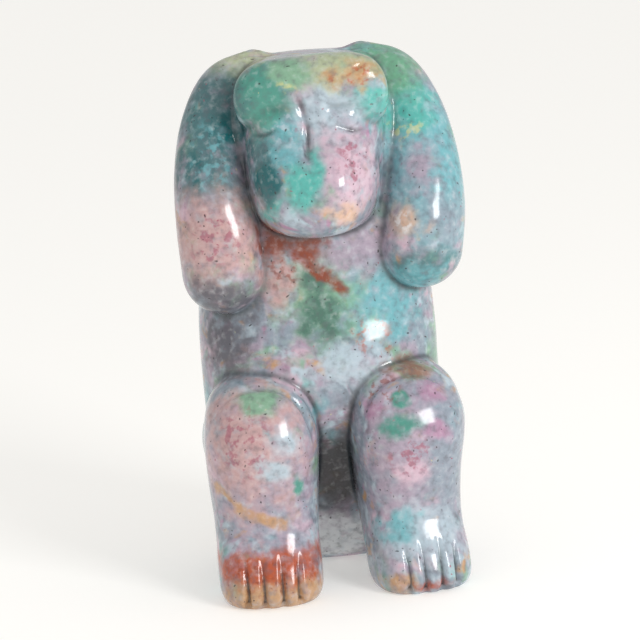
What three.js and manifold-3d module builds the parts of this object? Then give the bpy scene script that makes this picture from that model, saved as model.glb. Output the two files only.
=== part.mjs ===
// A seated monkey carved from one small block of mottled hardstone.
// Its knees are drawn up, its feet stand flat in front of it, and both arms are raised,
// with the forearms against the sides of the head and the hands over the top of it.
// Millimetres, +Z up. The figure faces -Y and stands on z = 0.

import * as THREE from "three";
import { mergeVertices } from "three/addons/utils/BufferGeometryUtils.js";
import Module from "manifold-3d";

const wasm = await Module();
wasm.setup();

// Driving dimensions. Left and right are as seen from the front.
const LEFT = {
  side: -1, elbowX: 9.7, elbowZ: 31.2,
  knee: -7.4, foot: -7.5, footHalfWidth: 5.0, toeFront: -12.0, splay: 0,
};
const RIGHT = {
  side: 1, elbowX: 9.4, elbowZ: 32.2,
  knee: 7.1, foot: 6.9, footHalfWidth: 4.75, toeFront: -11.4, splay: 12,
};
const KNEE_HALF_WIDTH = 5.5;
const KNEE_TOP = 21.6;
const TOE_HEIGHT = 4.0;
const TOES = 5;
const TOE_SPREAD = 0.92;
const GROOVE = { top: 0.15, bottom: 0.75, height: 5.8, lean: 10, setBack: 0.9, below: 0.9 };
const FOOT_MIDDLE = -6;
const SIDES = [-1, 1];
const ELBOW_RADIUS = 4.0;
const MUZZLE_FRONT = -9.3;
const HEAD_TURN = -8;
const BROW_HEIGHT = 48;
const BROW_SHIFT = 0.3;
const BROW_TIP = 2.7;
const LID_TURN = 22;

// Roundness of a section: 2 is an ellipse, and more is squarer.
const NEAR_ELLIPSE = 2.2;
const SOFT_SQUARE = 2.6;
const FULL_SQUARE = 3.2;

// Rows of faces in each round end of a limb
const CAP_ROWS = 4;

// Turns a closed geometry into a solid that can be joined and cut.
function solid(geometry) {
  const bare = geometry.clone();
  bare.deleteAttribute("normal");
  bare.deleteAttribute("uv");
  const merged = mergeVertices(bare, 1e-5);
  const mesh = new wasm.Mesh({
    numProp: 3,
    vertProperties: new Float32Array(merged.attributes.position.array),
    triVerts: new Uint32Array(merged.index.array),
  });
  return new wasm.Manifold(mesh);
}

function join(solids) {
  return solids.reduce((whole, next) => whole.add(next));
}

// Turns a geometry about an upright line through (x, y), by an angle in degrees.
function turnUpright(geometry, x, y, degrees) {
  geometry.translate(-x, -y, 0);
  geometry.rotateZ(THREE.MathUtils.degToRad(degrees));
  geometry.translate(x, y, 0);
  return geometry;
}

// Lifts a geometry's right side, about a line from front to back at height z.
function tipSideways(geometry, z, degrees) {
  geometry.translate(0, 0, -z);
  geometry.rotateY(THREE.MathUtils.degToRad(-degrees));
  geometry.translate(0, 0, z);
  return geometry;
}

// An ellipsoid, turned in degrees about an upright line through its own centre.
function ellipsoid(centre, radii, turn, sides) {
  const geometry = new THREE.SphereGeometry(1, sides, Math.round(sides * 0.6));
  geometry.scale(...radii);
  geometry.rotateZ(THREE.MathUtils.degToRad(turn));
  geometry.translate(...centre);
  return geometry;
}

// A point of a rounded section at an angle, with the given half sizes.
function sectionPoint(angle, halfWidth, halfDepth, roundness) {
  const c = Math.cos(angle);
  const s = Math.sin(angle);
  const power = 2 / roundness;
  return [
    halfWidth * Math.sign(c) * Math.abs(c) ** power,
    halfDepth * Math.sign(s) * Math.abs(s) ** power,
  ];
}

// Smooth values between stations, each a list of numbers, by a curve through them all.
function between(stations) {
  const curves = stations[0].map((_, column) => new THREE.CatmullRomCurve3(
    stations.map((row, i) => new THREE.Vector3(i, row[column], 0)), false, "centripetal"));
  return (t) => curves.map((curve) => curve.getPoint(t).y);
}

// An upright mass, whose sections go from the low roundness to the high one.
// Each station is [z, x, half width, front y, back y].
function uprightMass(stations, low, high, sides, rows) {
  const geometry = new THREE.CylinderGeometry(1, 1, 1, sides, rows);
  const at = between(stations);
  const position = geometry.attributes.position;
  for (let i = 0; i < position.count; i += 1) {
    const rise = 0.5 + position.getY(i);
    const roundness = low + (high - low) * rise;
    const [z, x, halfWidth, front, back] = at(rise);
    const radius = Math.hypot(position.getX(i), position.getZ(i));
    const angle = Math.atan2(-position.getZ(i), position.getX(i));
    const [dx, dy] = sectionPoint(angle, halfWidth * radius, radius * (back - front) / 2, roundness);
    position.setXYZ(i, x + dx, (front + back) / 2 + dy, z);
  }
  return geometry;
}

// A limb with round ends. Each station is [x, y, z, radius].
function limb(stations, sides, rows) {
  const geometry = new THREE.SphereGeometry(1, sides, rows);
  const path = new THREE.CatmullRomCurve3(stations.map(([x, y, z]) => new THREE.Vector3(x, y, z)));
  const radiusAt = between(stations.map((row) => [row[3]]));
  const bodyRows = rows - 2 * CAP_ROWS;
  const frames = path.computeFrenetFrames(bodyRows, false);
  const position = geometry.attributes.position;
  const point = new THREE.Vector3();
  for (let i = 0; i < position.count; i += 1) {
    const row = Math.round(Math.acos(THREE.MathUtils.clamp(position.getY(i), -1, 1)) / Math.PI * rows);
    const step = THREE.MathUtils.clamp(row - CAP_ROWS, 0, bodyRows);
    const beyond = (row - CAP_ROWS - step) / CAP_ROWS * Math.PI / 2;
    const full = radiusAt(step / bodyRows)[0];
    const radius = full * Math.cos(beyond);
    const around = Math.atan2(position.getZ(i), position.getX(i));
    point.copy(path.getPoint(step / bodyRows))
      .addScaledVector(frames.tangents[step], full * Math.sin(beyond))
      .addScaledVector(frames.normals[step], radius * Math.cos(around))
      .addScaledVector(frames.binormals[step], radius * Math.sin(around));
    position.setXYZ(i, point.x, point.y, point.z);
  }
  return geometry;
}

// The body, from the seat up to the stone left between the head and the forearms
function torso() {
  return solid(uprightMass([
    [0, -0.3, 7.8, 3.2, 10.6],
    [1.8, -0.3, 9.6, 1.4, 11.6],
    [6, -0.4, 11.0, -0.8, 12.0],
    [11, -0.6, 11.5, -2.4, 12.0],
    [16, -0.8, 11.6, -5.0, 11.5],
    [20.5, -0.9, 11.6, -6.0, 10.6],
    [23.5, -0.9, 11.6, -5.8, 10.2],
    [26, -0.9, 11.5, -5.1, 9.9],
    [29, -0.8, 11.3, -4.6, 9.8],
    [33, -0.4, 11.0, -4.2, 10.0],
    [37, 0, 10.4, -4.0, 9.9],
    [40, 0, 9.6, -4.0, 8.9],
    [43, 0, 9.0, -4.2, 7.6],
    [47, 0, 8.0, -4.0, 7.2],
    [49.8, 0, 6.0, -3.0, 6.2],
  ], NEAR_ELLIPSE, NEAR_ELLIPSE, 30, 20));
}

// A shin that stands on its foot, and the thigh back to the hip
function leg({ side, knee, foot, footHalfWidth, toeFront, splay }) {
  const ankle = (knee + foot) / 2;
  const shin = turnUpright(uprightMass([
    [0, foot, footHalfWidth * 0.92, toeFront + 0.8, -1.5],
    [1.2, foot, footHalfWidth, toeFront, -1.0],
    [TOE_HEIGHT * 0.85, foot, footHalfWidth * 1.01, toeFront + 0.6, -0.2],
    [TOE_HEIGHT + 1.4, foot, footHalfWidth, toeFront + 1.7, 0.8],
    [7.6, ankle, footHalfWidth * 1.02, toeFront + 2.5, 1.8],
    [11, ankle, footHalfWidth * 1.07, toeFront + 2.0, 2.4],
    [15.5, knee, KNEE_HALF_WIDTH, toeFront + 1.5, 2.0],
    [19.0, knee, KNEE_HALF_WIDTH * 0.88, toeFront + 2.9, 1.0],
    [KNEE_TOP - 0.6, knee, KNEE_HALF_WIDTH * 0.56, toeFront + 5.3, -0.5],
    [KNEE_TOP, knee, KNEE_HALF_WIDTH * 0.14, toeFront + 7.4, -2.5],
  ], SOFT_SQUARE, NEAR_ELLIPSE, 24, 18), foot, FOOT_MIDDLE, splay);
  const thigh = limb([
    [knee, toeFront + 7.8, 15.4, KNEE_HALF_WIDTH * 0.96],
    [knee, toeFront + 11.5, 14.0, KNEE_HALF_WIDTH * 1.02],
    [side * 5.4, 4.6, 9.0, KNEE_HALF_WIDTH * 1.12],
  ], 20, 16);
  return solid(shin).add(solid(thigh)).subtract(join(toeGrooves(foot, footHalfWidth, toeFront, splay)));
}

// Tapered cuts between the toes, widest at the sole and leaning back up the instep
function toeGrooves(foot, footHalfWidth, toeFront, splay) {
  const grooves = [];
  const pitch = 2 * footHalfWidth * TOE_SPREAD / TOES;
  for (let i = 1; i < TOES; i += 1) {
    const offset = (i - TOES / 2) * pitch;
    const setBack = GROOVE.setBack * (Math.abs(offset) / footHalfWidth) ** 3;
    const groove = new THREE.CylinderGeometry(GROOVE.top, GROOVE.bottom, GROOVE.height, 4);
    groove.rotateX(Math.PI / 2 - THREE.MathUtils.degToRad(GROOVE.lean));
    groove.translate(foot + offset, toeFront + setBack, GROOVE.height / 2 - GROOVE.below);
    grooves.push(solid(turnUpright(groove, foot, FOOT_MIDDLE, splay)));
  }
  return grooves;
}

// A forearm up the side of the head to the hand on top of it, and the upper arm
function arm({ side, elbowX, elbowZ }) {
  const forearm = limb([
    [side * elbowX, -2.4, elbowZ, ELBOW_RADIUS],
    [side * 10.0, -1.9, 36.0, 3.9],
    [side * 10.1, -0.3, 40.4, 3.6],
    [side * 9.4, 1.5, 44.6, 3.3],
    [side * 7.8, 2.8, 47.8, 3.0],
    [side * 5.2, 3.3, 49.3, 2.4],
  ], 18, 24);
  const upperArm = limb([
    [side * elbowX, -1.6, elbowZ, ELBOW_RADIUS * 0.94],
    [side * 8.8, 1.2, 33.0, 4.2],
    [side * 6.6, 3.4, 35.6, 4.3],
  ], 18, 14);
  return solid(forearm).add(solid(upperArm));
}

// The head, turned a little to the left. The face looks straight ahead in these numbers.
function head() {
  const turned = (geometry) => solid(turnUpright(geometry, 0, 0, HEAD_TURN));
  const skull = turned(uprightMass([
    [34.6, 0, 2.8, -6.6, 4],
    [35.2, 0, 4.5, -8.0, 6],
    [36.8, 0, 5.8, MUZZLE_FRONT + 0.2, 7],
    [39.6, 0, 6.4, MUZZLE_FRONT, 8],
    [42.4, 0, 6.7, -8.3, 9],
    [44.6, 0, 7.0, -6.9, 9.2],
    [46.8, 0, 7.1, -6.5, 8.8],
    [49.4, 0, 6.5, -6.3, 7.6],
    [50.8, 0, 5.0, -5.2, 5.6],
    [51.3, 0, 1.8, -1.4, 2.4],
  ], NEAR_ELLIPSE, FULL_SQUARE, 32, 20));
  const browPlate = turned(tipSideways(uprightMass([
    [44.0, BROW_SHIFT, 5.6, -4.9, -1.0],
    [45.6, BROW_SHIFT, 6.9, -5.9, -1.2],
    [47.5, BROW_SHIFT, 7.35, -6.5, -2.0],
    [49.4, BROW_SHIFT, 7.1, -6.6, -2.4],
    [50.8, BROW_SHIFT, 6.1, -6.1, -2.6],
    [51.5, BROW_SHIFT, 4.4, -5.4, -3.0],
    [51.7, BROW_SHIFT, 2.4, -4.8, -3.4],
  ], SOFT_SQUARE, SOFT_SQUARE, 32, 12), BROW_HEIGHT, BROW_TIP));
  const lids = SIDES.map((side) =>
    turned(ellipsoid([side * 4.0, -5.2, 45.7], [2.0, 1.1, 1.2], side * LID_TURN, 16)));
  const browCreases = SIDES.map((side) => turned(limb([
    [side * 1.6, -6.7, 47.3, 0.3],
    [side * 3.6, -6.4, 47.2, 0.45],
    [side * 5.4, -5.4, 46.0, 0.45],
    [side * 6.8, -3.8, 44.8, 0.4],
  ], 6, 14)));
  const bridgeCreases = SIDES.map((side) => turned(limb([
    [side * 1.3, -6.8, 49.4, 0.25],
    [side * 0.5, -6.7, 47.2, 0.35],
    [side * 0.1, -6.8, 45.8, 0.25],
  ], 6, 12)));
  const philtrum = turned(limb([
    [0, -6.9, 45.4, 0.3],
    [0, -7.4, 44.1, 0.45],
    [0, -8.4, 42.6, 0.3],
  ], 6, 12));
  return join([skull, browPlate, ...lids]).subtract(join([...browCreases, ...bridgeCreases, philtrum]));
}

const figure = join([
  torso(),
  leg(LEFT),
  leg(RIGHT),
  arm(LEFT),
  arm(RIGHT),
  head(),
]);

// Pockets left between the joined masses are solid stone, so only the outer skin is kept.
const skin = figure.decompose().reduce((largest, piece) =>
  (piece.volume() > largest.volume() ? piece : largest));

const mesh = skin.getMesh();
const geometry = new THREE.BufferGeometry();
geometry.setAttribute("position", new THREE.BufferAttribute(mesh.vertProperties, 3));
geometry.setIndex(new THREE.BufferAttribute(mesh.triVerts, 1));

const stone = new THREE.MeshStandardMaterial({ color: 0xb3b6c4, roughness: 0.18, metalness: 0 });
const monkey = new THREE.Mesh(geometry, stone);
monkey.name = "stone_monkey";

const carving = new THREE.Group();
carving.add(monkey);

export default carving;
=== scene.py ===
# A seated monkey carved from one small block of mottled, polished hardstone.
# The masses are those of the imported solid, from the same driving dimensions. Here they are
# modelled more finely, melted into one skin, carved with the maker's grooves, and coloured
# as the stone, and the skin then stands in the solid's place.
# The carving is shaped in millimetres and brought to metres once it is done.

import math

import bpy
import numpy as np
from mathutils import Matrix, Vector
from mathutils.bvhtree import BVHTree


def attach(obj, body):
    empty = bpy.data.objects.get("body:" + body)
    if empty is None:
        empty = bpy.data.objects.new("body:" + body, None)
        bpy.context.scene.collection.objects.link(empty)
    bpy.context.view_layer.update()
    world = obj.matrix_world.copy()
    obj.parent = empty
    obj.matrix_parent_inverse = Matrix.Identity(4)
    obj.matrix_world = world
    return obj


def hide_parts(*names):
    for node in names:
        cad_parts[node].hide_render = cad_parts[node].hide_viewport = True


MM = 0.001

# Driving dimensions in millimetres. Left and right are as seen from the front.
LEFT = {
    "side": -1, "elbow": (9.7, 31.2),
    "knee": -7.4, "foot": -7.5, "foot_half": 5.0, "toe_front": -12.0, "splay": 0,
}
RIGHT = {
    "side": 1, "elbow": (9.4, 32.2),
    "knee": 7.1, "foot": 6.9, "foot_half": 4.75, "toe_front": -11.4, "splay": 12,
}
KNEE_HALF_WIDTH = 5.5
KNEE_TOP = 21.6
TOE_HEIGHT = 4.0
TOES = 5
TOE_SPREAD = 0.92
FOOT_MIDDLE = -6
ELBOW_RADIUS = 4.0
MUZZLE_FRONT = -9.3
HEAD_TURN = -8
BROW_HEIGHT = 48
BROW_SHIFT = 0.3
BROW_TIP = 2.7

# Low swells on the skin: centre, radii and height. The eyes stand on a head that looks straight ahead.
EYES = [((side * 4.1, -5.8, 45.9), (1.9, 2.0, 1.4), 0.26) for side in (-1, 1)]
FULLNESS = [
    ((-7.0, -5.0, 34.2), (3.5, 3.0, 4.0), 0.25),
    ((9.0, -5.8, 34.4), (4.5, 3.0, 4.5), 0.3),
    ((1.3, -8.9, 39.5), (3.4, 2.6, 3.4), 0.35),
]

# Roundness of a section: 2 is an ellipse, and more is squarer.
NEAR_ELLIPSE = 2.2
SOFT_SQUARE = 2.6
FULL_SQUARE = 3.2

# The skin's mesh: the size of its cells, how long it is rubbed smooth, and how many faces it keeps.
CELL = 0.18
LIGHT_RUB = 16
LONG_RUB = 130
LAST_RUB = 3
WORN_RUB = 120
FACES_KEPT = 190000

# Where the longer rub of the back starts, and over what depth it sets in.
BACK_STARTS = 1.0
BACK_BLEND = 4.0


# Shaping

def select_only(*pieces):
    """Selects these pieces and nothing else; the last one is active."""
    bpy.ops.object.select_all(action="DESELECT")
    for piece in pieces:
        piece.select_set(True)
        bpy.context.view_layer.objects.active = piece


def points_of(piece):
    flat = np.empty(3 * len(piece.data.vertices))
    piece.data.vertices.foreach_get("co", flat)
    return flat.reshape(-1, 3)


def normals_of(piece):
    flat = np.empty(3 * len(piece.data.vertices))
    piece.data.vertices.foreach_get("normal", flat)
    return flat.reshape(-1, 3)


def move_points(piece, points):
    piece.data.vertices.foreach_set("co", points.ravel())
    piece.data.update()


def through(stations, places):
    """Rows of values at places from 0 to 1, on a smooth curve through all the stations."""
    rows = np.array(stations, dtype=float)
    ends = np.vstack([2 * rows[0] - rows[1], rows, 2 * rows[-1] - rows[-2]])
    at = np.clip(places, 0, 1) * (len(rows) - 1)
    step = np.minimum(at.astype(int), len(rows) - 2)
    t = (at - step)[:, None]
    a, b, c, d = (ends[step + k] for k in range(4))
    return b + 0.5 * t * (c - a + t * (2 * a - 5 * b + 4 * c - d + t * (3 * (b - c) + d - a)))


def ball(name, segments, rings):
    """A unit ball to be shaped, with each point's row, counted up from the bottom, and angle round it."""
    bpy.ops.object.select_all(action="DESELECT")
    bpy.ops.mesh.primitive_uv_sphere_add(segments=segments, ring_count=rings, radius=1)
    mass = bpy.context.active_object
    mass.name = name
    x, y, z = points_of(mass).T
    row = np.round((1 - np.arccos(np.clip(z, -1, 1)) / np.pi) * rings)
    return mass, row, np.arctan2(y, x)


def upright_mass(name, stations, low, high, segments=64, rings=90):
    """A mass with level sections, which go from the low roundness to the high one.
    Each station is (z, x, half width, front y, back y)."""
    mass, row, angle = ball(name, segments, rings)
    z, x, half_width, front, back = through(stations, (row - 1) / (rings - 2)).T
    roundness = low + (high - low) * row / rings
    reach = np.where((row == 0) | (row == rings), 0, 1)
    c, s = np.cos(angle), np.sin(angle)
    across = np.sign(c) * np.abs(c) ** (2 / roundness) * half_width * reach
    along = np.sign(s) * np.abs(s) ** (2 / roundness) * (back - front) / 2 * reach
    move_points(mass, np.column_stack([x + across, (front + back) / 2 + along, z]))
    return mass


def limb(name, stations, segments=48, rings=80, cap=10):
    """A round mass along a path, with round ends. Each station is (x, y, z, radius)."""
    mass, row, angle = ball(name, segments, rings)
    steps = rings - 2 * cap
    middle = through(stations, np.arange(steps + 1) / steps)
    path, radius = middle[:, :3], middle[:, 3]
    tangent = np.gradient(path, axis=0)
    tangent /= np.linalg.norm(tangent, axis=1, keepdims=True)
    side = np.empty_like(tangent)
    last = np.array([0.3, 1.0, 0.2])
    for i, direction in enumerate(tangent):
        last = last - direction * (direction @ last)
        side[i] = last / np.linalg.norm(last)
    step = np.clip(row - cap, 0, steps).astype(int)
    beyond = (row - cap - step) / cap * np.pi / 2
    reach = (radius[step] * np.cos(beyond))[:, None]
    across = side[step] * np.cos(angle)[:, None] + np.cross(tangent, side)[step] * np.sin(angle)[:, None]
    along = tangent[step] * (radius[step] * np.sin(beyond))[:, None]
    move_points(mass, path[step] + along + across * reach)
    return mass


def turn_upright(mass, x, y, degrees):
    """Turns a mass about an upright line through (x, y)."""
    turn = np.array(Matrix.Rotation(math.radians(degrees), 3, "Z"))
    move_points(mass, (points_of(mass) - (x, y, 0)) @ turn.T + (x, y, 0))
    return mass


def tip_sideways(mass, z, degrees):
    """Lifts a mass's right side, about a line from front to back at height z."""
    turn = np.array(Matrix.Rotation(math.radians(-degrees), 3, "Y"))
    move_points(mass, (points_of(mass) - (0, 0, z)) @ turn.T + (0, 0, z))
    return mass


# The masses of the figure

def torso():
    """The body, from the seat up to the nape."""
    return [upright_mass("torso", [
        (0, -0.3, 7.8, 3.2, 10.6),
        (1.8, -0.3, 9.6, 1.4, 11.6),
        (6, -0.4, 11.0, -0.8, 12.0),
        (11, -0.6, 11.5, -2.4, 12.0),
        (16, -0.8, 11.6, -5.0, 11.5),
        (20.5, -0.9, 11.6, -6.0, 10.6),
        (23.5, -0.9, 11.6, -5.8, 10.2),
        (26, -0.9, 11.5, -5.1, 9.9),
        (29, -0.8, 11.3, -4.6, 9.8),
        (33, -0.4, 11.0, -4.2, 10.0),
        (37, 0, 10.4, -4.0, 9.9),
        (40, 0, 9.6, -4.0, 8.9),
        (43, 0, 9.0, -4.2, 7.6),
        (47, 0, 8.0, -4.0, 7.2),
        (49.8, 0, 6.0, -3.0, 6.2),
    ], NEAR_ELLIPSE, NEAR_ELLIPSE)]


def leg(side, elbow, knee, foot, foot_half, toe_front, splay):
    """A shin that stands on its foot, and the thigh back to the hip."""
    ankle = (knee + foot) / 2
    shin = turn_upright(upright_mass("shin", [
        (0, foot, foot_half * 0.92, toe_front + 0.8, -1.5),
        (1.2, foot, foot_half, toe_front, -1.0),
        (TOE_HEIGHT * 0.85, foot, foot_half * 1.01, toe_front + 0.6, -0.2),
        (TOE_HEIGHT + 1.4, foot, foot_half, toe_front + 1.7, 0.8),
        (7.6, ankle, foot_half * 1.02, toe_front + 2.5, 1.8),
        (11, ankle, foot_half * 1.07, toe_front + 2.0, 2.4),
        (15.5, knee, KNEE_HALF_WIDTH, toe_front + 1.5, 2.0),
        (19.0, knee, KNEE_HALF_WIDTH * 0.88, toe_front + 2.9, 1.0),
        (KNEE_TOP - 0.6, knee, KNEE_HALF_WIDTH * 0.56, toe_front + 5.3, -0.5),
        (KNEE_TOP, knee, KNEE_HALF_WIDTH * 0.14, toe_front + 7.4, -2.5),
    ], SOFT_SQUARE, NEAR_ELLIPSE), foot, FOOT_MIDDLE, splay)
    thigh = limb("thigh", [
        (knee, toe_front + 7.8, 15.4, KNEE_HALF_WIDTH * 0.96),
        (knee, toe_front + 11.5, 14.0, KNEE_HALF_WIDTH * 1.02),
        (side * 5.4, 4.6, 9.0, KNEE_HALF_WIDTH * 1.12),
    ])
    return [shin, thigh]


def arm(side, elbow, **_):
    """A forearm up the side of the head to the hand on top of it, and the upper arm."""
    elbow_x, elbow_z = elbow
    forearm = limb("forearm", [
        (side * elbow_x, -2.4, elbow_z, ELBOW_RADIUS),
        (side * 10.0, -1.9, 36.0, 3.9),
        (side * 10.1, -0.3, 40.4, 3.6),
        (side * 9.4, 1.5, 44.6, 3.3),
        (side * 7.8, 2.8, 47.8, 3.0),
        (side * 5.2, 3.3, 49.3, 2.4),
    ])
    upper_arm = limb("upper_arm", [
        (side * elbow_x, -1.6, elbow_z, ELBOW_RADIUS * 0.94),
        (side * 8.8, 1.2, 33.0, 4.2),
        (side * 6.6, 3.4, 35.6, 4.3),
    ])
    return [forearm, upper_arm]


def head():
    """The head, and the flat brow plate over its front, turned a little to the left."""
    skull = upright_mass("skull", [
        (34.6, 0, 2.8, -6.6, 4),
        (35.2, 0, 4.5, -8.0, 6),
        (36.8, 0, 5.8, MUZZLE_FRONT + 0.2, 7),
        (39.6, 0, 6.4, MUZZLE_FRONT, 8),
        (42.4, 0, 6.7, -8.3, 9),
        (44.6, 0, 7.0, -6.9, 9.2),
        (46.8, 0, 7.1, -6.5, 8.8),
        (49.4, 0, 6.5, -6.3, 7.6),
        (50.8, 0, 5.0, -5.2, 5.6),
        (51.3, 0, 1.8, -1.4, 2.4),
    ], NEAR_ELLIPSE, FULL_SQUARE)
    brow_plate = tip_sideways(upright_mass("brow_plate", [
        (44.0, BROW_SHIFT, 5.6, -4.9, -1.0),
        (45.6, BROW_SHIFT, 6.9, -5.9, -1.2),
        (47.5, BROW_SHIFT, 7.35, -6.5, -2.0),
        (49.4, BROW_SHIFT, 7.1, -6.6, -2.4),
        (50.8, BROW_SHIFT, 6.1, -6.1, -2.6),
        (51.5, BROW_SHIFT, 4.4, -5.4, -3.0),
        (51.7, BROW_SHIFT, 2.4, -4.8, -3.4),
    ], SOFT_SQUARE, SOFT_SQUARE), BROW_HEIGHT, BROW_TIP)
    return [turn_upright(mass, 0, 0, HEAD_TURN) for mass in (skull, brow_plate)]


# One skin over all the masses

def apply_modifier(piece, kind, **settings):
    select_only(piece)
    bpy.ops.object.modifier_add(type=kind)
    modifier = piece.modifiers[-1]
    for name, value in settings.items():
        setattr(modifier, name, value)
    bpy.ops.object.modifier_apply(modifier=modifier.name)


def melted(masses):
    """All the masses as one closed skin."""
    select_only(*masses)
    bpy.ops.object.join()
    skin = bpy.context.active_object
    apply_modifier(skin, "REMESH", mode="VOXEL", voxel_size=CELL)
    return skin


def rubbed(skin):
    """Rounds the skin lightly all over, and longer on the back, as the stone was polished."""
    apply_modifier(skin, "SMOOTH", factor=0.5, iterations=LIGHT_RUB)
    x, y, z = points_of(skin).T
    back = np.clip((y - BACK_STARTS) / BACK_BLEND, 0, 1)
    group = skin.vertex_groups.new(name="long rub")
    levels = 10
    for level in range(1, levels + 1):
        chosen = np.flatnonzero(np.round(back * levels) == level)
        group.add(chosen.tolist(), level / levels, "REPLACE")
    apply_modifier(skin, "SMOOTH", factor=0.5, iterations=LONG_RUB, vertex_group=group.name)
    return skin


def carve(skin, strokes):
    """Cuts grooves along paths on the skin, or raises ridges where the depth is negative.
    Each station of a stroke is (x, y, z, half width, depth). The paths are laid on the skin first."""
    points, normals = points_of(skin), normals_of(skin)
    surface = BVHTree.FromPolygons(points.tolist(), [list(face.vertices) for face in skin.data.polygons])
    for stations in strokes:
        laid = through(stations, np.linspace(0, 1, 12 * len(stations)))
        laid[:, :3] = [surface.find_nearest(place)[0] for place in laid[:, :3]]
        cut_along(points, normals, laid)
    move_points(skin, points)


def cut_along(points, normals, laid):
    """Moves the points near a path inwards, deepest on the path and fading to its half width."""
    reach = laid[:, 3].max()
    low, high = laid[:, :3].min(axis=0) - reach, laid[:, :3].max(axis=0) + reach
    near = np.flatnonzero(((points > low) & (points < high)).all(axis=1))
    nearest = np.full(len(near), np.inf)
    cut = np.zeros(len(near))
    for start, end in zip(laid[:-1], laid[1:]):
        run = end[:3] - start[:3]
        along = np.clip((points[near] - start[:3]) @ run / (run @ run + 1e-12), 0, 1)
        gap = np.linalg.norm(points[near] - start[:3] - along[:, None] * run, axis=1)
        half_width, depth = (start[k] + along * (end[k] - start[k]) for k in (3, 4))
        closer = gap < nearest
        nearest[closer] = gap[closer]
        cut[closer] = (depth * (1 - np.minimum(gap / half_width, 1) ** 2) ** 2)[closer]
    points[near] -= normals[near] * cut[:, None]


def swell(skin, centre, radii, height):
    """Raises a low rounded bump over an oval place on the skin, or sinks a hollow."""
    points, normals = points_of(skin), normals_of(skin)
    gap = np.linalg.norm((points - centre) / radii, axis=1)
    rise = height * (1 - np.minimum(gap, 1) ** 2) ** 2
    move_points(skin, points + normals * rise[:, None])


def polished(skin):
    """A last short rub over the carving, and fewer faces where the skin is smooth."""
    apply_modifier(skin, "SMOOTH", factor=0.5, iterations=LAST_RUB)
    triangles = sum(len(face.vertices) - 2 for face in skin.data.polygons)
    apply_modifier(skin, "DECIMATE", ratio=FACES_KEPT / triangles)
    return skin


def mark_hollows(skin):
    """Keeps in an attribute how far each point lies inside the rubbed-down form, in millimetres; the stone's
    colour paints shade into the creases by it.
    """
    select_only(skin)
    bpy.ops.object.duplicate()
    worn = bpy.context.active_object
    apply_modifier(worn, "SMOOTH", factor=0.5, iterations=WORN_RUB)
    depth = ((points_of(worn) - points_of(skin)) * normals_of(skin)).sum(axis=1)
    bpy.data.objects.remove(worn)
    hollow = skin.data.attributes.new("hollow", "FLOAT", "POINT")
    hollow.data.foreach_set("value", depth)


def finished(skin, name):
    """Brings the carving to metres, with its feet on the floor."""
    points = points_of(skin)
    points[:, 2] = np.maximum(points[:, 2], 0)
    move_points(skin, points * MM)
    select_only(skin)
    bpy.ops.object.shade_smooth()
    skin.name = skin.data.name = name
    return skin


# The maker's carving

def turned(x, y, z, degrees, about=(0, 0)):
    """A place on a mass, after the mass was turned about an upright line."""
    angle = math.radians(degrees)
    dx, dy = x - about[0], y - about[1]
    return (
        about[0] + dx * math.cos(angle) - dy * math.sin(angle),
        about[1] + dx * math.sin(angle) + dy * math.cos(angle),
        z,
    )


def facing(stations):
    """A stroke on the head, given as if the head faced straight ahead."""
    return [(*turned(x, y, z, HEAD_TURN), *cut) for x, y, z, *cut in stations]


def face_strokes():
    """Brows, lids and nose. The face looks straight ahead in these numbers."""
    strokes = []
    for side in (-1, 1):
        under_brow = [
            (side * 1.3, -6.6, 47.4, 0.6, 0.0),
            (side * 2.6, -6.3, 47.1, 0.9, 0.16),
            (side * 3.6, -6.2, 47.1, 0.9, 0.2),
            (side * 4.6, -5.9, 46.7, 0.9, 0.2),
            (side * 5.5, -5.2, 45.8, 0.9, 0.2),
            (side * 6.5, -3.6, 44.8, 0.9, 0.15),
        ]
        lower_lid = [
            (side * 2.6, -6.3, 45.5, 0.4, 0.0),
            (side * 3.3, -6.1, 45.0, 0.5, 0.22),
            (side * 4.3, -5.6, 44.5, 0.5, 0.24),
            (side * 5.6, -4.6, 44.6, 0.4, 0.0),
        ]
        bridge = [
            (side * 1.9, -6.6, 49.0, 0.8, 0.0),
            (side * 1.6, -6.6, 48.0, 0.8, -0.13),
            (side * 1.4, -6.6, 46.4, 0.8, -0.14),
            (side * 1.3, -6.8, 45.2, 0.7, 0.0),
        ]
        strokes += [under_brow, lower_lid, bridge]
    brow_parting = [
        (-1.6, -6.6, 49.8, 0.6, 0.0),
        (-0.9, -6.6, 48.3, 0.7, 0.22),
        (-0.4, -6.5, 47.0, 0.6, 0.26),
        (-0.05, -6.6, 45.5, 0.5, 0.1),
    ]
    nose_slit = [
        (0, -6.6, 46.0, 0.5, 0.0),
        (0, -7.0, 45.0, 0.6, 0.35),
        (0, -7.4, 43.9, 0.6, 0.4),
        (0, -8.1, 42.8, 0.55, 0.25),
        (0, -8.5, 41.9, 0.5, 0.0),
    ]
    upper_brow_crease = [
        (3.1, -6.4, 49.3, 0.35, 0.0),
        (3.9, -6.3, 49.9, 0.45, 0.14),
        (5.2, -5.8, 50.6, 0.45, 0.14),
        (6.0, -5.2, 51.0, 0.35, 0.0),
    ]
    lower_brow_crease = [
        (2.6, -6.5, 47.9, 0.35, 0.0),
        (3.1, -6.5, 48.3, 0.45, 0.14),
        (4.1, -6.4, 49.0, 0.45, 0.14),
        (4.8, -6.3, 49.5, 0.35, 0.0),
    ]
    strokes += [brow_parting, nose_slit, upper_brow_crease, lower_brow_crease]
    return [facing(stations) for stations in strokes]


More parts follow.
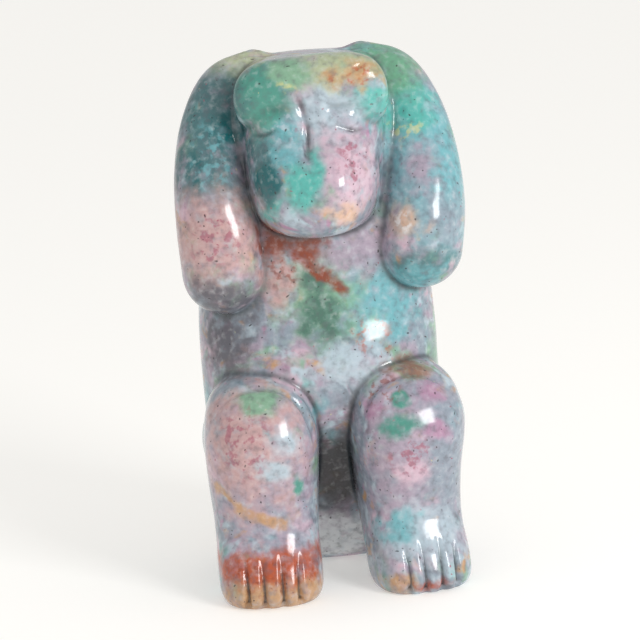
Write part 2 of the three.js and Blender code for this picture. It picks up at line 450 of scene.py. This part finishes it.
def toe_strokes(foot, foot_half, toe_front, splay, **_):
    """Grooves between the toes, deepest at the sole and fading up the instep."""
    toe_width = 2 * foot_half * TOE_SPREAD / TOES
    strokes = []
    for i in range(1, TOES):
        x = foot + (i - TOES / 2) * toe_width
        strokes.append([
            (*turned(x, toe_front + back, z, splay, (foot, FOOT_MIDDLE)), half_width, depth)
            for back, z, half_width, depth in (
                (0.6, 0.0, 0.5, 0.7),
                (0.0, 1.4, 0.45, 0.65),
                (0.3, 2.8, 0.42, 0.5),
                (1.0, 4.2, 0.4, 0.3),
                (1.9, 5.4, 0.4, 0.0),
            )
        ])
    return strokes


def knee_strokes(side, knee, toe_front, **_):
    """The crease round the top of a knee, where the shin's front meets the thigh."""
    return [[
        (knee + side * -4.9, toe_front + 4.6, 14.0, 0.5, 0.0),
        (knee + side * -4.6, toe_front + 4.2, 17.2, 0.6, 0.24),
        (knee + side * -3.0, toe_front + 4.4, 19.8, 0.6, 0.3),
        (knee, toe_front + 4.8, 20.9, 0.6, 0.26),
        (knee + side * 3.0, toe_front + 4.8, 19.8, 0.6, 0.2),
        (knee + side * 4.4, toe_front + 4.6, 18.0, 0.5, 0.0),
    ]]


def worn_strokes():
    """Two fine creases where the left knee meets the belly."""
    return [
        [
            (-4.0 + step, -6.9 + step, 20.4, 0.3, 0.0),
            (-3.3 + step, -6.6 + step, 19.3, 0.35, 0.12),
            (-2.5 + step, -6.3 + step, 17.6, 0.35, 0.12),
            (-2.0 + step, -6.0 + step, 16.2, 0.3, 0.0),
        ]
        for step in (0.0, 0.7)
    ]


def finger_strokes(side, **_):
    """Grooves between the fingers, where a hand lies on top of the head."""
    return [
        [
            (side * 7.6, y + 0.3, 50.8, 0.4, 0.0),
            (side * 6.2, y + 0.1, 51.6, 0.45, 0.24),
            (side * 4.6, y, 51.6, 0.45, 0.28),
            (side * 2.8, y, 51.2, 0.4, 0.1),
        ]
        for y in (1.9, 3.0, 4.1)
    ]


# Shader sums in Python

class Shade:
    """An output of one of a material's nodes. Sums of shades add Math nodes."""

    def __init__(self, tree, socket=None):
        self.tree = tree
        self.socket = socket

    def node(self, kind, settings, values, output=0):
        """Adds any node: its settings go first, then the values or links of its sockets."""
        node = self.tree.nodes.new("ShaderNode" + kind)
        for name, setting in settings.items():
            setattr(node, name, setting)
        for key, value in values.items():
            if isinstance(value, Shade):
                self.tree.links.new(value.socket, node.inputs[key])
            else:
                node.inputs[key].default_value = value
        return Shade(self.tree, node.outputs[output]) if node.outputs else None

    def math(self, operation, *values):
        return self.node("Math", {"operation": operation}, dict(enumerate(values)))

    def vector(self, operation, *others, output=0):
        return self.node("VectorMath", {"operation": operation}, dict(enumerate((self, *others))), output)

    def __add__(self, other):
        return self.math("ADD", self, other)

    def __radd__(self, other):
        return self.math("ADD", other, self)

    def __sub__(self, other):
        return self.math("SUBTRACT", self, other)

    def __rsub__(self, other):
        return self.math("SUBTRACT", other, self)

    def __mul__(self, other):
        return self.math("MULTIPLY", self, other)

    def __rmul__(self, other):
        return self.math("MULTIPLY", other, self)

    def soft_step(self, low, high):
        """0 below low, 1 above high, and smooth between them."""
        return self.node("MapRange", {"interpolation_type": "SMOOTHSTEP"}, {0: self, 1: low, 2: high})

    def between(self, first, second):
        """Goes from the first colour to the second one as this mask goes from 0 to 1."""
        return self.node("Mix", {"data_type": "RGBA"}, {0: self, 6: first, 7: second}, 2)

    def cloud(self, size, detail=3.0, seed=0):
        """Cloudy noise round 0.5 over this place, with clouds of a size in millimetres."""
        place = self.vector("ADD", (seed, seed, seed)) if seed else self
        return self.node("TexNoise", {}, {"Vector": place, "Scale": 1 / size, "Detail": detail})

    def stirred(self, size, reach):
        """This place, moved about by noise by up to a reach in millimetres."""
        swirl = self.node("TexNoise", {}, {"Vector": self, "Scale": 1 / size, "Detail": 2.0}, 1)
        shift = swirl.vector("MULTIPLY_ADD", (2 * reach,) * 3, (-reach,) * 3)
        return self.vector("ADD", shift)

    def grains(self, size, seed):
        """Cells of a size in millimetres: how far their middle is, and a chance number for each."""
        place = self.vector("ADD", (seed, seed, seed))
        cells = {"Vector": place, "Scale": 1 / size}
        gap = self.node("TexVoronoi", {}, cells, "Distance")
        tint = self.node("TexVoronoi", {}, cells, "Color")
        return gap, self.node("SeparateColor", {}, {0: tint})


def new_material(name):
    """An empty material, and a shade that its nodes start from."""
    material = bpy.data.materials.new(name)
    material.use_nodes = True
    material.node_tree.nodes.clear()
    return material, Shade(material.node_tree)


def finish_material(piece, material, surface):
    """Sends a shader to the material's output, and puts the material on a piece."""
    surface.node("OutputMaterial", {}, {"Surface": surface})
    piece.data.materials.clear()
    piece.data.materials.append(material)


def linear(red, green, blue):
    """A colour as a screen shows it, from 0 to 255, as a shader's colour."""
    parts = (red / 255, green / 255, blue / 255)
    return tuple(((part + 0.055) / 1.055) ** 2.4 for part in parts) + (1.0,)


# The stone: its minerals and where they show, with some painted shade and painted light. Places and radii are
# in millimetres.

MINERALS = {
    "lilac": linear(168, 154, 170),
    "blue_grey": linear(142, 154, 166),
    "pearl": linear(178, 194, 204),
    "sky": linear(112, 176, 184),
    "turquoise": linear(86, 178, 168),
    "sea_green": linear(106, 164, 132),
    "jade": linear(70, 146, 130),
    "pale_jade": linear(130, 172, 144),
    "dark_jade": linear(72, 112, 98),
    "teal": linear(2, 96, 100),
    "slate_teal": linear(66, 110, 114),
    "sage": linear(176, 186, 150),
    "rose": linear(206, 176, 190),
    "pink": linear(194, 158, 156),
    "mauve": linear(174, 134, 160),
    "peach": linear(214, 178, 154),
    "tan": linear(192, 150, 108),
    "orange": linear(180, 76, 28),
    "rust": linear(138, 62, 36),
    "brown": linear(148, 108, 88),
    "straw": linear(206, 202, 140),
    # Smoky stone, and also painted shade under the left elbow and on the body's left side.
    "smoke_and_shade": linear(94, 92, 100),
    # Black specks of the stone, and also painted shade in the recess between the legs.
    "ink_and_shade": linear(42, 38, 40),
    "garnet": linear(160, 78, 100),
    # Not a mineral: the colour of painted shade, for the creases and the nose slit.
    "shadow": linear(38, 46, 50),
    # Milky stone, and also painted light under the seat between the feet.
    "milk_and_painted_light": linear(228, 230, 232),
}

# How softly a patch of mineral fades out, as a part of its radius.
SOFT_EDGE = 0.26

# A patch no more ragged than this is clear stone, and covers nearly all that lies under it.
CLEAN_EDGE = 0.6
CLEAN_COVER = 0.96

# Each drift through the whole stone: mineral, size of its clouds, and the noise where it sets in and is full.
DRIFTS = [
    ("lilac", 4.0, 0.44, 0.60),
    ("rose", 3.4, 0.54, 0.70),
    ("sky", 5.0, 0.56, 0.72),
    ("pale_jade", 4.0, 0.57, 0.72),
    ("smoke_and_shade", 2.6, 0.54, 0.80),
    ("pearl", 1.8, 0.52, 0.70),
    ("turquoise", 6.5, 0.62, 0.74),
    ("mauve", 1.5, 0.60, 0.78),
    ("tan", 1.9, 0.58, 0.76),
]

# Each patch: mineral, centre, radii, and how ragged its edge is, from clean at 0 to crumbled at 1.5.
HEAD_PATCHES = [
    ("slate_teal", (-5.2, -5.6, 43.4), (2.4, 2.8, 3.2), 1.2),
    ("sky", (-3.4, -6.4, 45.0), (2.2, 2.0, 1.6), 1.3),
    ("sky", (-3.0, -7.8, 43.0), (1.2, 2.0, 1.2), 1.3),
    ("turquoise", (5.6, -6.0, 47.2), (2.6, 2.6, 2.0), 1.1),
    ("pearl", (1.2, -6.4, 46.6), (2.8, 2.4, 2.4), 1.0),
    ("jade", (-5.2, -5.0, 48.4), (3.2, 3.4, 3.6), 0.6),
    ("sage", (2.2, -5.6, 50.8), (4.4, 3.5, 2.0), 0.9),
    ("tan", (4.2, -6.0, 49.9), (2.8, 2.2, 1.1), 1.4),
    ("pale_jade", (-2.2, -5.5, 50.4), (2.0, 3.0, 1.4), 0.6),
    ("rose", (2.9, -8.0, 41.0), (3.4, 3.0, 4.0), 0.9),
    ("teal", (-5.2, -7.1, 40.2), (1.6, 2.4, 2.0), 0.3),
    ("turquoise", (-1.9, -8.9, 39.8), (1.8, 2.2, 2.4), 0.5),
    ("turquoise", (-0.4, -8.4, 42.0), (0.8, 1.6, 1.5), 1.0),
    ("peach", (1.9, -8.6, 37.1), (2.0, 2.0, 1.0), 1.2),
    ("pale_jade", (3.6, -3.0, 51.4), (4.4, 2.0, 0.9), 0.6),
]
ARM_PATCHES = [
    ("sage", (-6.8, 1.0, 51.0), (3.6, 4.0, 1.8), 1.2),
    ("slate_teal", (-9.6, -1.6, 47.4), (3.6, 5.0, 3.4), 1.1),
    ("slate_teal", (-10.6, -2.6, 42.6), (3.8, 5.0, 5.2), 1.2),
    ("teal", (-8.4, -3.4, 44.6), (1.4, 2.4, 2.2), 1.3),
    ("teal", (-11.4, -2.2, 41.0), (1.2, 2.4, 2.0), 1.3),
    ("pink", (-10.4, -4.6, 34.8), (4.6, 6.0, 4.4), 0.9),
    # Painted shade: the underside of the left elbow.
    ("smoke_and_shade", (-9.6, -4.4, 29.2), (3.8, 4.0, 2.2), 0.9),
    ("sky", (10.8, -3.2, 39.6), (4.2, 6.0, 8.0), 0.9),
    ("turquoise", (8.6, -1.6, 45.6), (3.0, 4.4, 2.3), 0.8),
    ("sea_green", (7.4, -0.2, 49.8), (3.8, 5.4, 3.0), 0.7),
    ("lilac", (9.6, -5.0, 40.4), (1.8, 2.0, 2.4), 1.4),
    ("blue_grey", (11.0, -5.0, 35.4), (2.2, 2.4, 2.4), 1.3),
    ("peach", (7.8, -5.2, 35.4), (1.5, 2.0, 1.4), 1.2),
    ("slate_teal", (8.6, -4.6, 31.0), (3.8, 4.0, 1.7), 0.9),
]
BODY_PATCHES = [
    ("sky", (4.8, -4.2, 28.0), (5.5, 3.0, 4.4), 1.3),
    ("pale_jade", (-0.4, -4.8, 28.6), (3.6, 3.0, 4.6), 1.3),
    ("lilac", (3.0, -4.2, 33.0), (3.8, 2.4, 2.8), 0.9),
    ("rust", (-4.9, -3.4, 34.6), (1.4, 2.4, 2.8), 1.3),
    ("rust", (-1.9, -4.0, 34.0), (2.4, 2.0, 1.7), 0.9),
    ("pink", (-4.8, -4.2, 30.2), (1.6, 2.0, 2.0), 1.2),
    ("dark_jade", (-1.2, -4.5, 30.2), (1.5, 2.0, 1.1), 0.9),
    ("dark_jade", (-0.8, -5.2, 26.6), (2.1, 2.4, 2.6), 1.1),
    # Painted shade: the body's left side, under the left arm.
    ("smoke_and_shade", (-10.0, -2.6, 24.6), (2.8, 3.4, 3.6), 0.8),
    ("pearl", (1.6, -5.6, 22.0), (3.4, 2.4, 2.0), 1.3),
    # Painted shade: the deep recess between the legs, darkened.
    ("ink_and_shade", (-0.4, -0.8, 12.4), (3.2, 4.4, 6.2), 0.5),
    # Painted light: the underside of the seat between the feet, lightened as if lit from the floor below.
    ("milk_and_painted_light", (-0.6, 0.8, 3.0), (4.4, 3.0, 2.6), 0.8),
]
LEG_PATCHES = [
    ("lilac", (-7.6, -9.4, 13.0), (5.0, 4.0, 6.4), 1.3),
    ("lilac", (7.4, -8.6, 13.0), (5.0, 4.0, 7.0), 1.3),
    ("pink", (-8.8, -9.4, 16.0), (4.4, 4.4, 6.2), 1.2),
    ("pale_jade", (-7.3, -8.4, 19.8), (2.1, 2.2, 1.2), 0.5),
    ("pearl", (-5.6, -10.0, 16.0), (1.3, 1.4, 1.1), 0.9),
    ("pearl", (-6.6, -10.2, 13.3), (1.5, 1.4, 1.2), 1.0),
    ("jade", (-4.3, -9.2, 11.5), (0.6, 1.2, 1.1), 0.6),
    ("tan", (-7.6, -10.8, 1.3), (6.4, 5.0, 2.1), 0.8),
    ("orange", (-8.4, -10.2, 4.0), (7.6, 5.2, 1.6), 1.0),
    ("blue_grey", (10.2, -8.4, 12.4), (2.6, 3.0, 6.4), 0.9),
    ("brown", (7.2, -5.8, 21.2), (2.0, 1.8, 1.1), 1.1),
    ("mauve", (3.0, -8.0, 17.8), (1.0, 1.2, 0.9), 1.1),
    ("mauve", (8.9, -8.0, 19.2), (1.4, 1.4, 0.9), 1.2),
    ("mauve", (9.3, -9.3, 15.6), (1.6, 1.4, 0.9), 1.1),
    ("jade", (5.8, -8.6, 18.8), (0.8, 1.2, 0.7), 0.7),
    ("jade", (5.5, -9.6, 16.5), (2.0, 1.6, 1.1), 0.8),
    ("rose", (6.5, -9.6, 11.7), (1.8, 1.4, 1.2), 1.3),
    ("pearl", (7.2, -9.4, 5.4), (4.6, 3.0, 2.6), 1.1),
    ("sky", (4.4, -9.4, 6.6), (2.2, 2.0, 1.4), 1.2),
    ("tan", (4.6, -10.9, 1.4), (1.4, 1.6, 0.9), 1.1),
    ("orange", (7.4, -10.9, 0.8), (1.3, 1.6, 0.6), 1.1),
]
BACK_PATCHES = [
    ("jade", (-4.0, 8.0, 42.0), (4.6, 4.0, 4.0), 1.1),
    ("turquoise", (5.0, 7.4, 46.0), (3.2, 4.0, 3.0), 1.0),
    ("slate_teal", (11.0, 3.6, 33.0), (3.0, 4.0, 4.0), 1.1),
    ("dark_jade", (3.0, 10.0, 29.0), (3.4, 3.0, 2.6), 1.1),
    ("pink", (-6.6, 9.6, 25.0), (4.4, 4.0, 5.0), 1.1),
    ("rose", (5.6, 10.4, 15.0), (5.0, 4.0, 4.6), 1.2),
    ("sky", (-11.0, 4.0, 14.0), (3.0, 5.0, 5.0), 1.2),
    ("sea_green", (12.0, 2.4, 20.0), (2.6, 4.0, 4.0), 1.1),
    ("tan", (-4.6, 11.0, 5.0), (5.4, 4.0, 2.6), 1.0),
]

# Each gathering of flecks: mineral, centre and radii.
FLECKS = [
    ("orange", (3.6, -6.3, 49.6), (3.2, 2.0, 1.4)),
    ("straw", (-2.4, -6.3, 49.0), (1.3, 1.4, 1.0)),
    ("pearl", (-3.2, -6.6, 45.4), (2.4, 2.0, 1.8)),
    ("garnet", (3.4, -8.0, 42.0), (2.6, 2.4, 3.6)),
    ("straw", (8.6, -2.4, 43.6), (2.2, 2.4, 1.4)),
    ("sky", (-10.2, -3.4, 43.0), (2.6, 3.0, 5.0)),
    ("garnet", (-10.4, -5.4, 35.2), (3.4, 3.4, 4.0)),
    ("milk_and_painted_light", (7.8, -5.2, 35.4), (1.6, 2.0, 1.5)),
    ("rust", (-4.0, -4.0, 31.4), (3.0, 2.4, 2.4)),
    ("orange", (4.2, -5.4, 24.4), (3.0, 2.4, 2.6)),
    ("rust", (4.4, -7.4, 19.4), (2.2, 2.4, 2.4)),
    ("garnet", (-9.2, -9.8, 16.4), (3.6, 3.4, 4.6)),
    ("garnet", (6.6, -9.6, 13.4), (3.0, 2.4, 2.4)),
    ("rust", (-7.6, -10.8, 3.0), (5.6, 4.0, 2.6)),
    ("garnet", (-6.6, 9.6, 25.0), (4.0, 4.0, 4.4)),
]

# Each vein: mineral, half width, and the places that it runs through.
VEINS = [
    # Painted shade: a thin dark line down the nose slit.
    ("shadow", 0.16, [(-1.0, -6.9, 45.4), (-1.1, -7.4, 44.0), (-1.2, -8.0, 42.9)]),
    ("rust", 0.45, [(-2.4, -4.0, 32.8), (-1.2, -4.2, 31.2), (0.1, -4.5, 30.4), (1.4, -4.6, 29.0)]),
    ("tan", 0.36, [(-12.0, -7.6, 11.8), (-11.0, -8.8, 10.5), (-9.4, -9.3, 9.0), (-6.2, -9.5, 8.0)]),
    ("brown", 0.45, [(6.0, 10.0, 31.0), (2.0, 10.6, 25.0), (-3.0, 11.2, 20.0), (-8.0, 10.0, 15.0)]),
]

# Each kind of grain: mineral, cell size, radius, share of the cells, size and start of its clusters.
GRAINS = [
    ("garnet", 0.90, 0.16, 0.30, 3.0, 0.50),
    ("straw", 0.90, 0.13, 0.25, 4.0, 0.54),
    ("ink_and_shade", 0.60, 0.11, 0.55, 2.4, 0.42),
]


def drifted(place):
    """The ground of blue grey, with each drift laid over it in clouds of its own."""
    colour = MINERALS["blue_grey"]
    for i, (mineral, size, low, high) in enumerate(DRIFTS):
        mask = place.cloud(size, seed=37 * (i + 1)).soft_step(low, high)
        colour = mask.between(colour, MINERALS[mineral])
    return colour


def gap_from(place, centre, radii):
    """How far a place is from a centre, where 1 is on the oval with these radii."""
    scale = tuple(1 / radius for radius in radii)
    offset = tuple(-middle / radius for middle, radius in zip(centre, radii))
    return place.vector("MULTIPLY_ADD", scale, offset).vector("LENGTH", output=1)


def patch(place, crumble, centre, radii, ragged):
    """1 inside an oval and 0 outside it, with its edge broken up by noise."""
    edge = SOFT_EDGE * (1 + ragged)
    return (crumble * (2 * ragged) + (1 - ragged) - gap_from(place, centre, radii)).soft_step(-edge, edge)


def vein(place, crumble, half_width, path):
    """1 near a path of straight runs and 0 away from it, with its width uneven."""
    nearest = None
    for start, end in zip(path[:-1], path[1:]):
        run = Vector(end) - Vector(start)
        from_start = place.vector("SUBTRACT", start)
        along = from_start.vector("DOT_PRODUCT", tuple(run), output=1) * (1 / run.length_squared)
        along = along.math("MINIMUM", along.math("MAXIMUM", along, 0.0), 1.0)
        foot = along.node("CombineXYZ", {}, {0: along, 1: along, 2: along}).vector("MULTIPLY", tuple(run))
        gap = from_start.vector("DISTANCE", foot, output=1)
        nearest = gap if nearest is None else gap.math("MINIMUM", nearest, gap)
    return (half_width * 3 * crumble - nearest).soft_step(-0.3, 0.35)


def speckled(place, colour):
    """Lays the kinds of grain over a colour, in clusters."""
    for i, (mineral, size, radius, share, cluster, start) in enumerate(GRAINS):
        gap, chance = place.grains(size, 211 * (i + 1))
        grain = ((radius / size) * (0.6 + 0.8 * chance) - gap).soft_step(-0.05, 0.08)
        kept = (share - chance).soft_step(0.0, 0.02)
        clustered = place.cloud(cluster, seed=17 * (i + 1)).soft_step(start, start + 0.1)
        colour = (grain * kept * clustered * 0.85).between(colour, MINERALS[mineral])
    return colour


def mottled_stone(piece):
    """Polished hardstone: drifts, patches and veins of minerals, fine grains, and painted shade in the
    hollows.
    """
    material, paint = new_material("mottled_stone")
    place = paint.node("TexCoord", {}, {}, "Object").vector("MULTIPLY", (1 / MM,) * 3)
    wavy = place.stirred(2.4, 0.8).stirred(0.8, 0.2)
    crumble = place.cloud(1.6, detail=3.0)
    cover = place.cloud(0.9, seed=23).soft_step(0.30, 0.56) * 0.35 + 0.6
    fleck = place.cloud(0.8, seed=71).soft_step(0.50, 0.65) * 0.65

    colour = drifted(place.stirred(7.0, 2.5))
    for mineral, centre, radii, ragged in (
        HEAD_PATCHES + ARM_PATCHES + BODY_PATCHES + LEG_PATCHES + BACK_PATCHES
    ):
        mask = patch(wavy, crumble, centre, radii, ragged) * (cover if ragged > CLEAN_EDGE else CLEAN_COVER)
        colour = mask.between(colour, MINERALS[mineral])
    for mineral, half_width, path in VEINS:
        colour = (vein(wavy, crumble, half_width, path) * cover).between(colour, MINERALS[mineral])
    for mineral, centre, radii in FLECKS:
        mask = (1 - gap_from(wavy, centre, radii)).soft_step(0.0, 0.5) * fleck
        colour = mask.between(colour, MINERALS[mineral])
    colour = speckled(wavy.stirred(0.3, 0.08), colour)

    fine = place.cloud(0.7, detail=4.0, seed=5)
    colour = (fine.soft_step(0.5, 0.8) * 0.25).between(colour, MINERALS["milk_and_painted_light"])
    colour = ((1 - fine).soft_step(0.46, 0.8) * 0.5).between(colour, MINERALS["smoke_and_shade"])
    # Painted shade: the deeper a point lies in a crease, the more its colour goes to the shadow colour.
    hollow = paint.node("Attribute", {"attribute_name": "hollow"}, {}, "Fac")
    colour = (hollow.soft_step(0.02, 0.28) * 0.8).between(colour, MINERALS["shadow"])

    surface = paint.node("BsdfPrincipled", {}, {
        "Base Color": colour,
        "Roughness": 0.08 + 0.12 * place.cloud(1.6, seed=9),
        "IOR": 1.54,
        "Subsurface Weight": 0.15,
        "Subsurface Radius": (1.0, 0.9, 0.8),
        "Subsurface Scale": 0.6 * MM,
    })
    finish_material(piece, material, surface)


# The studio

def put_camera():
    """The photograph's camera: from the front, a little above and to the left, and tipped."""
    azimuth, elevation, tip = (math.radians(a) for a in (-3.0, 13.0, 4.1))
    distance = 0.300
    frame_width = 0.0621
    aim = Vector((-0.0007, 0, 0.0252))
    back = Vector((
        math.sin(azimuth) * math.cos(elevation),
        -math.cos(azimuth) * math.cos(elevation),
        math.sin(elevation),
    ))
    bpy.ops.object.camera_add(location=aim + back * distance)
    camera = bpy.context.active_object
    camera.rotation_mode = "QUATERNION"
    level = (-back).to_track_quat("-Z", "Y")
    camera.rotation_quaternion = level @ Matrix.Rotation(-tip, 3, "Z").to_quaternion()
    camera.data.lens = camera.data.sensor_width * distance / frame_width
    camera.data.clip_start = 0.01
    bpy.context.scene.camera = camera


def put_floor():
    bpy.ops.mesh.primitive_plane_add(size=3)
    floor = bpy.context.active_object
    floor.name = "floor"
    material, paint = new_material("floor_paper")
    surface = paint.node("BsdfPrincipled", {}, {
        "Base Color": linear(236, 235, 232),
        "Roughness": 0.9,
        "Emission Color": linear(250, 248, 244),
        "Emission Strength": 0.34,
    })
    finish_material(floor, material, surface)


def put_light(name, direction, distance, size, power):
    """A soft box that looks at the middle of the figure from a direction."""
    middle = Vector((0, 0, 0.026))
    away = Vector(direction).normalized()
    bpy.ops.object.light_add(type="AREA", location=middle + away * distance)
    light = bpy.context.active_object
    light.name = name
    light.rotation_mode = "QUATERNION"
    light.rotation_quaternion = (-away).to_track_quat("-Z", "Y")
    light.data.shape = "RECTANGLE"
    light.data.size, light.data.size_y = size
    light.data.energy = power


def put_sky(strength):
    world = bpy.data.worlds.new("studio")
    bpy.context.scene.world = world
    world.use_nodes = True
    sky = world.node_tree.nodes["Background"]
    sky.inputs["Color"].default_value = (1.0, 0.995, 0.985, 1)
    sky.inputs["Strength"].default_value = strength


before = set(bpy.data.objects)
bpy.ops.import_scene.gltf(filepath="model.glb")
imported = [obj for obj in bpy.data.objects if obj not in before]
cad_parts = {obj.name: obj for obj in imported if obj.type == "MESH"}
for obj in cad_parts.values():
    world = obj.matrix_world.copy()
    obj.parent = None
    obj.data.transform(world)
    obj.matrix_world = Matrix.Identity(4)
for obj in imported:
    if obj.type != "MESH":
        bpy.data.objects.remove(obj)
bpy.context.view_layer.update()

bpy.context.scene.view_settings.view_transform = "Standard"

put_camera()
put_floor()
put_sky(0.68)
put_light("key", direction=(0.57, -0.74, 0.36), distance=0.30, size=(0.09, 0.10), power=0.42)

skin = rubbed(melted([
    *torso(),
    *leg(**LEFT),
    *leg(**RIGHT),
    *arm(**LEFT),
    *arm(**RIGHT),
    *head(),
]))
for centre, radii, height in EYES:
    swell(skin, turned(*centre, HEAD_TURN), radii, height)
for centre, radii, height in FULLNESS:
    swell(skin, centre, radii, height)
strokes = face_strokes() + worn_strokes()
for half in (LEFT, RIGHT):
    strokes += toe_strokes(**half) + knee_strokes(**half) + finger_strokes(**half)
carve(skin, strokes)
mark_hollows(polished(skin))
monkey = finished(skin, "carved_monkey")

mottled_stone(monkey)

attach(monkey, "root")
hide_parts("stone_monkey")
